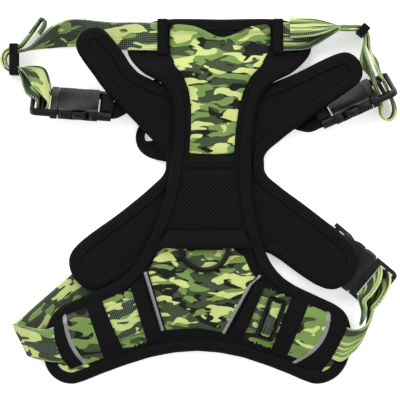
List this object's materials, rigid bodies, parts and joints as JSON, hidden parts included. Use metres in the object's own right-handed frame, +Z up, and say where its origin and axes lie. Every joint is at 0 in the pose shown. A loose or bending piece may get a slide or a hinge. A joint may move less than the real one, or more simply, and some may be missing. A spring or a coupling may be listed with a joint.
{
  "type": "no pull dog harness",
  "caption": "Padded dog harness lying flat: camouflage chest plate with front leash ring over a mesh-lined back plate, joined by webbing and side-release buckles.",
  "frame": {"origin": "middle of the bounding box on the table the harness lies on", "axes": "+X to the right across the chest plate, +Y towards the neck edge, +Z up from the table"},
  "size_m": [0.2776, 0.2572, 0.0283],
  "materials": {
    "camo_cover": "printed woven polyester",
    "camo_webbing": "printed woven webbing",
    "reflective_strip": "retro-reflective tape",
    "ring_metal": "black plated",
    "slider_plastic": "moulded",
    "buckle_plastic": "moulded",
    "keeper_elastic": "woven elastic",
    "mesh_lining": "spacer mesh",
    "edge_binding": "folded tape",
    "black_webbing": "woven webbing",
    "padded_core": "foam under woven cloth",
    "black_fabric": "woven polyester"
  },
  "bodies": {
    "harness": {"back_cover": "black_fabric", "back_core": "padded_core", "back_lining": "mesh_lining", "back_binding": "edge_binding", "back_handle": "black_webbing", "chest_lining": "mesh_lining", "chest_core": "padded_core", "chest_binding": "edge_binding", "neck_panel": "camo_cover", "trim_strip": "black_fabric", "mesh_panel": "mesh_lining", "ring_flap": "black_fabric", "belly_panel": "camo_cover", "left_patch": "camo_cover", "right_patch": "camo_cover", "left_neck_band": "black_fabric", "right_neck_band": "black_fabric", "left_inner_band": "black_fabric", "left_middle_band": "black_fabric", "left_outer_band": "black_fabric", "right_inner_band": "black_fabric", "right_middle_band": "black_fabric", "right_outer_band": "black_fabric", "left_inner_strip": "reflective_strip", "right_inner_strip": "reflective_strip", "left_outer_strip": "reflective_strip", "right_outer_strip": "reflective_strip", "ring_tab": "black_webbing", "left_belly_strap": "camo_webbing", "right_belly_strap": "camo_webbing", "left_neck_strap": "camo_webbing", "right_neck_strap": "camo_webbing", "left_keeper": "keeper_elastic", "right_keeper": "keeper_elastic", "left_female": "buckle_plastic", "left_tab": "black_webbing", "right_female": "buckle_plastic", "right_tab": "black_webbing", "belly_female": "buckle_plastic", "belly_tab": "black_webbing"},
    "leash_ring": {"leash_ring": "ring_metal"},
    "strap_slider": {"strap_slider": "slider_plastic"},
    "left_male": {"left_male": "buckle_plastic"},
    "left_prong_up": {"left_prong_up": "buckle_plastic"},
    "left_prong_low": {"left_prong_low": "buckle_plastic"},
    "right_male": {"right_male": "buckle_plastic"},
    "right_prong_up": {"right_prong_up": "buckle_plastic"},
    "right_prong_low": {"right_prong_low": "buckle_plastic"},
    "belly_male": {"belly_male": "buckle_plastic"},
    "belly_prong_up": {"belly_prong_up": "buckle_plastic"},
    "belly_prong_low": {"belly_prong_low": "buckle_plastic"}
  },
  "joints": [
    {"name": "leash_ring_swing", "type": "hinge", "parent": "harness", "child": "leash_ring", "pos_m": [0.00403, -0.03107, 0.01876], "axis": [-1, 0, 0], "range_deg": [0, 88]},
    {"name": "slider_shift", "type": "slide", "parent": "harness", "child": "strap_slider", "axis": [0.9397, -0.3364, -0.0619], "range_m": [-0.0045, 0.0012], "deforming": ["right_belly_strap"]},
    {"name": "left_buckle_release", "type": "slide", "parent": "harness", "child": "left_male", "axis": [-0.9976, 0.0698, 0], "range_m": [0, 0.024], "deforming": ["left_neck_strap", "left_prong_up", "left_prong_low"]},
    {"name": "left_prong_up_squeeze", "type": "hinge", "parent": "left_male", "child": "left_prong_up", "pos_m": [-0.10033, 0.06319, 0.02201], "axis": [0.055, 0.7861, 0.6157], "range_deg": [0, 9], "stiffness_Nm_per_rad": 0.9},
    {"name": "left_prong_low_squeeze", "type": "hinge", "parent": "left_male", "child": "left_prong_low", "pos_m": [-0.09952, 0.07474, 0.00719], "axis": [-0.055, -0.7861, -0.6157], "range_deg": [0, 9], "stiffness_Nm_per_rad": 0.9},
    {"name": "right_buckle_release", "type": "slide", "parent": "harness", "child": "right_male", "axis": [0.9107, 0.4131, 0], "range_m": [0, 0.024], "deforming": ["right_neck_strap", "right_prong_up", "right_prong_low"]},
    {"name": "right_prong_up_squeeze", "type": "hinge", "parent": "right_male", "child": "right_prong_up", "pos_m": [0.11718, 0.08008, 0.00692], "axis": [-0.3465, 0.7638, 0.5446], "range_deg": [0, 9], "stiffness_Nm_per_rad": 0.9},
    {"name": "right_prong_low_squeeze", "type": "hinge", "parent": "right_male", "child": "right_prong_low", "pos_m": [0.12141, 0.07075, 0.02268], "axis": [0.3465, -0.7638, -0.5446], "range_deg": [0, 9], "stiffness_Nm_per_rad": 0.9},
    {"name": "belly_buckle_release", "type": "slide", "parent": "harness", "child": "belly_male", "axis": [0.766, -0.6428, 0], "range_m": [0, 0.024], "deforming": ["right_belly_strap", "belly_prong_up", "belly_prong_low"]},
    {"name": "belly_prong_up_squeeze", "type": "hinge", "parent": "belly_male", "child": "belly_prong_up", "pos_m": [0.12408, -0.04358, 0.00505], "axis": [0, 0, 1], "range_deg": [0, 9], "stiffness_Nm_per_rad": 0.9},
    {"name": "belly_prong_low_squeeze", "type": "hinge", "parent": "belly_male", "child": "belly_prong_low", "pos_m": [0.10878, -0.06181, 0.00505], "axis": [0, 0, -1], "range_deg": [0, 9], "stiffness_Nm_per_rad": 0.9}
  ]
}
